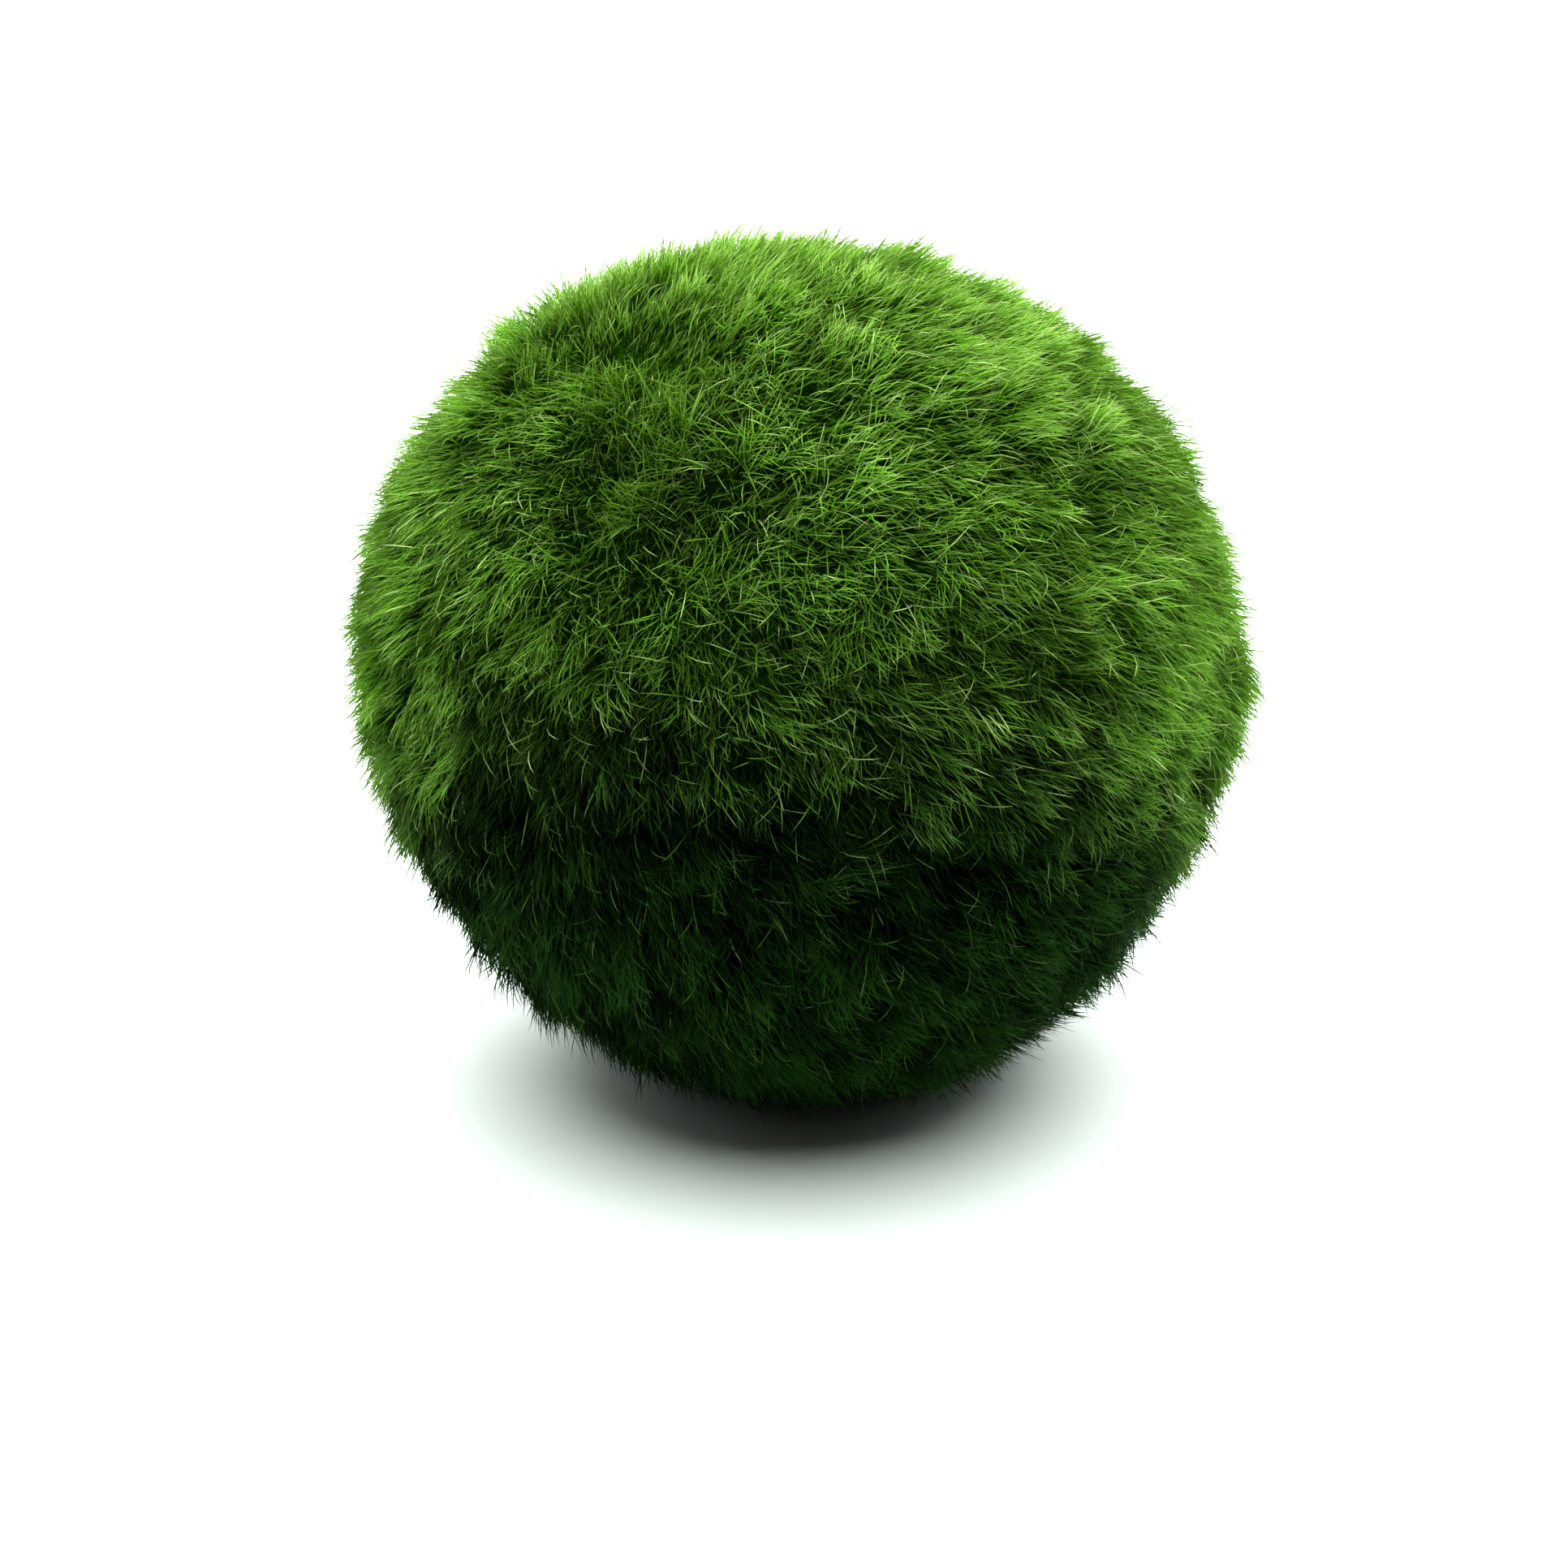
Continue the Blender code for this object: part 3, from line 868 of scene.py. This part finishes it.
def in_locks(count, chance, along, length, turn, end, bow, closeness):
    """Directions, paths and shades of filaments that grow in locks. Each has its lock's lie,
    rise, end and bow and a share of its length, changed at random by about turn in radians, end
    in degrees and bow in lengths. Its path closes in on the lock's by closeness times the lock's
    cling times along^CLING_POWER. The nearer it grows to its tuft's tip, the longer and steeper it
    is and the more painted light it has, with painted shade at the tuft's start. In a parting it
    grows shorter and lower and has painted shade, and where its tip would reach over one, its
    whole path is drawn in toward its root, and it has painted shade too."""
    directions = even_directions(count, chance, IN_LOCKS_SCATTER)
    wild = tangle(directions)
    parted = openness(directions)
    mixed = unit(directions + chance.normal(0, IN_LOCKS_MIXING, directions.shape))
    lock = nearest(mixed, lock_directions)
    tuft = lock_tuft[lock]
    from_tuft = (directions - tuft_directions[tuft]) / TUFT_RADIUS
    from_lock = (directions - lock_directions[lock]) / LOCK_RADIUS
    tuft_edge = np.minimum(np.sum(from_tuft**2, axis=1), FAR_OUT)
    up_the_tuft = np.clip(np.sum(from_tuft * tuft_lie[tuft], axis=1), -FAR_UP, FAR_UP)
    up_the_lock = np.clip(np.sum(from_lock * lock_lie[lock], axis=1), -FAR_UP, FAR_UP)
    lie = unit(along_surface(lock_lie[lock], directions))
    long = lock_length[lock] * chance.uniform(*length, count) * (1 + TANGLE_LENGTH * wild)
    long *= TUFT_MIDDLE_LENGTH - TUFT_EDGE_LENGTH * tuft_edge + UP_THE_TUFT_LENGTH * up_the_tuft
    rise = UP_THE_TUFT_RISE * up_the_tuft - GAP_LOWERING * parted
    paths = strokes(
        HEART + directions * (mat_radius(directions)[:, None] - IN_LOCKS_ROOT),
        directions,
        turned(lie, directions, chance.normal(0, turn, count) * (1 + IN_LOCKS_WILD * wild)),
        long * (1 - GAP_SHORTENING * parted),
        lock_rise[lock] + chance.normal(0, IN_LOCKS_RISE, count) + rise,
        lock_end[lock] + chance.normal(0, end, count),
        lock_bow[lock] + chance.normal(0, bow, count) * (1 + wild),
        along,
    )
    cling = closeness * lock_cling[lock][:, None] * along**CLING_POWER
    paths += cling[:, :, None] * (lock_paths(along)[lock] - paths)
    over_a_gap = openness(unit(paths[:, -1] - HEART))
    paths -= GAP_SHORTENING * over_a_gap[:, None, None] * (paths - paths[:, :1])
    # painted light up the tuft and the lock, painted shade in and over gaps
    shade = lock_tone[lock] + UP_THE_TUFT_PAINTED_LIGHT * tuft_show[tuft] * up_the_tuft
    shade += UP_THE_LOCK_PAINTED_LIGHT * up_the_lock - GAP_PAINTED_SHADE * np.maximum(parted, over_a_gap)
    return directions, paths, np.clip(shade, 0, 1)


chance = np.random.default_rng(26)
fine_directions, fine_paths, fine_shade = in_locks(
    FINE_FILAMENTS, chance, FINE_ALONG, FINE_LENGTH, turn=0.30, end=17, bow=0.22, closeness=0.6
)
fine_radii = chance.uniform(*THICKNESS, (FINE_FILAMENTS, 1)) * FINE_TAPER
grow_in_halves(
    "fine",
    fine_directions,
    fine_paths,
    FINE_HALF_THICKNESS * fine_radii,
    FINE_ALONG,
    np.clip(chance.normal(*FINE_TONE, FINE_FILAMENTS), 0, 1),
    fine_shade,
    filament_finish("fine_filaments", 1.0),
)


# ---------------------------------------------------------------------------------------------
# The outer coat. Longer, thicker and more bent filaments grow among the fine ones and cling to
# the lock that they belong to, the more closely the nearer to its tip. They are two joined
# meshes, too.
COAT_FILAMENTS = 30000
COAT_LENGTH = (0.70, 1.14)    # as a share of their lock's
COAT_HALF_THICKNESS = 0.000046
COAT_ALONG = np.array((0.0, 0.44, 0.76, 1.0))
COAT_TAPER = np.array((0.0, 1.0, 0.75, 0.0))
COAT_TONE = (0.46, 0.14)      # their mean tone, and how much it varies
DRY_AND_HIGHLIGHT_TONE = 0.45               # what a dry, pale filament, which also stands for a painted highlight, has on top
DRY_AND_HIGHLIGHT_SHARE = 0.12              # the share of them that are dry and painted as highlights

chance = np.random.default_rng(31)
coat_directions, coat_paths, coat_shade = in_locks(
    COAT_FILAMENTS, chance, COAT_ALONG, COAT_LENGTH, turn=0.26, end=17, bow=0.26, closeness=1.0
)
coat_radii = chance.uniform(*THICKNESS, (COAT_FILAMENTS, 1)) * COAT_TAPER
coat_tone = chance.normal(*COAT_TONE, COAT_FILAMENTS)
coat_tone += DRY_AND_HIGHLIGHT_TONE * (chance.random(COAT_FILAMENTS) < DRY_AND_HIGHLIGHT_SHARE)
grow_in_halves(
    "coat",
    coat_directions,
    coat_paths,
    COAT_HALF_THICKNESS * coat_radii,
    COAT_ALONG,
    np.clip(coat_tone, 0, 1),
    coat_shade,
    filament_finish("coat_filaments", 1.0),
)


# ---------------------------------------------------------------------------------------------
# The stray filaments. Some filaments belong to no lock: they are pale and bent, they lie across
# the others, and a few stand out past the coat. Their paleness also stands for painted highlights,
# and they keep some of it in the painted shade. They grow as the others do.
STRAY_FILAMENTS = 4500
STRAY_SCATTER = 0.04          # how far their roots stray from even places, in radians
STRAY_LENGTH = (0.0015, 0.0031)
STRAY_HALF_THICKNESS = 0.000030
STRAY_THICKNESS = (0.7, 1.25)  # how much they differ in thickness
STRAY_ALONG = np.array((0.0, 0.30, 0.58, 0.82, 1.0))
STRAY_TAPER = np.array((0.0, 0.95, 1.0, 0.85, 0.0))
STRAY_TURN = 0.55             # how far they stray from the combed way, in radians
STRAY_WILD = 1.6              # how many times more they do in the tangle
STRAY_RISE = (36, 74)         # the angle at which they set out, in degrees
STRAY_END = (-20, 30)         # the angle to the surface at which they end, in degrees
STRAY_BOW = 0.34              # how far they bow sideways, as a share of their length
STRAY_HEIGHT = 0.0008         # they start this far above the mat, where the coat hides the rest
STRAY_GROWN = 0.35            # and are this far along there
STRAY_TONE = (0.66, 0.2)      # their mean tone, and how much it varies
STRAY_SHADE = 0.6
STRAY_LEAST_LIGHT = 0.16      # how much of their green they keep in the painted shade

chance = np.random.default_rng(41)
stray_directions = even_directions(STRAY_FILAMENTS, chance, STRAY_SCATTER)
stray_turn = chance.normal(0, STRAY_TURN, STRAY_FILAMENTS)
stray_turn *= 1 + STRAY_WILD * tangle(stray_directions)
stray_paths = strokes(
    HEART + stray_directions * (mat_radius(stray_directions)[:, None] + STRAY_HEIGHT),
    stray_directions,
    turned(combed(stray_directions), stray_directions, stray_turn),
    chance.uniform(*STRAY_LENGTH, STRAY_FILAMENTS),
    chance.uniform(*STRAY_RISE, STRAY_FILAMENTS),
    chance.uniform(*STRAY_END, STRAY_FILAMENTS),
    chance.normal(0, STRAY_BOW, STRAY_FILAMENTS),
    STRAY_ALONG,
)
stray_radii = chance.uniform(*STRAY_THICKNESS, (STRAY_FILAMENTS, 1)) * STRAY_TAPER
grow(
    "stray_filaments",
    stray_directions,
    stray_paths,
    STRAY_HALF_THICKNESS * stray_radii,
    STRAY_GROWN + (1 - STRAY_GROWN) * STRAY_ALONG,
    np.clip(chance.normal(*STRAY_TONE, STRAY_FILAMENTS), 0, 1),
    np.full(STRAY_FILAMENTS, STRAY_SHADE),
    filament_finish("stray_filaments", 1.0, STRAY_LEAST_LIGHT),
)


# ---------------------------------------------------------------------------------------------
# The studio: a wide pale floor, one broad soft light above, a little behind the ball and a little
# to its right, and a backdrop all round that is bright behind the ball and dim in front of it.
FLOOR_SIDE = 12               # in metres, so that its edge is out of sight
FLOOR_PALE = (0.43, 0.48, 0.45, 1)
KEY_STRENGTH = 14.0
KEY_SPREAD = 95               # the angle that the soft light fills, in degrees
KEY_BEHIND = 12               # how far behind the ball's top it stands, in degrees
KEY_TO_THE_RIGHT = 4          # and how far to the right of it
BEHIND = 3.8                  # the backdrop's brightness behind the ball
IN_FRONT = 0.09               # and in front of it
TURN_STARTS = -0.02           # where, from -1 in front to 1 behind, it starts to grow brighter
TURN_ENDS = 0.46              # and where it is as bright as it gets

half = FLOOR_SIDE / 2
corners = np.array(((-half, -half, 0), (half, -half, 0), (half, half, 0), (-half, half, 0)))
floor = bpy.data.objects.new("floor", mesh_of("floor", corners, [np.array(((0, 1, 2, 3),))]))
bpy.context.scene.collection.objects.link(floor)
floor_finish = Finish(bpy.data.materials.new("floor"))
floor_surface = floor_finish.node(
    "ShaderNodeBsdfPrincipled", None, {"Base Color": FLOOR_PALE, "Roughness": 0.8}
)
floor_finish.node("ShaderNodeOutputMaterial", None, {"Surface": floor_surface})
floor.data.materials.append(floor_finish.owner)

key = bpy.data.objects.new("key", bpy.data.lights.new("key", "SUN"))
bpy.context.scene.collection.objects.link(key)
key.data.energy = KEY_STRENGTH
key.data.angle = np.radians(KEY_SPREAD)
key.rotation_euler = (-np.radians(KEY_BEHIND), np.radians(KEY_TO_THE_RIGHT), 0)

world = bpy.data.worlds.new("studio")
bpy.context.scene.world = world
sky = Finish(world)
toward = sky.node("ShaderNodeTexCoord", output=0)
to_the_back = sky.node("ShaderNodeSeparateXYZ", None, {0: toward}, output=1)
turn = sky.stepped(to_the_back, TURN_STARTS, TURN_ENDS)
dim = sky.node("ShaderNodeBackground", None, {"Strength": IN_FRONT})
bright = sky.node("ShaderNodeBackground", None, {"Strength": BEHIND})
# The backdrop itself is seen bright from every side, whichever way it lights the ball
seen = sky.node("ShaderNodeLightPath")
around = sky.node("ShaderNodeMixShader", None, {0: turn + seen, 1: dim, 2: bright})
sky.node("ShaderNodeOutputWorld", None, {"Surface": around})
bpy.context.scene.view_settings.view_transform = "Standard"
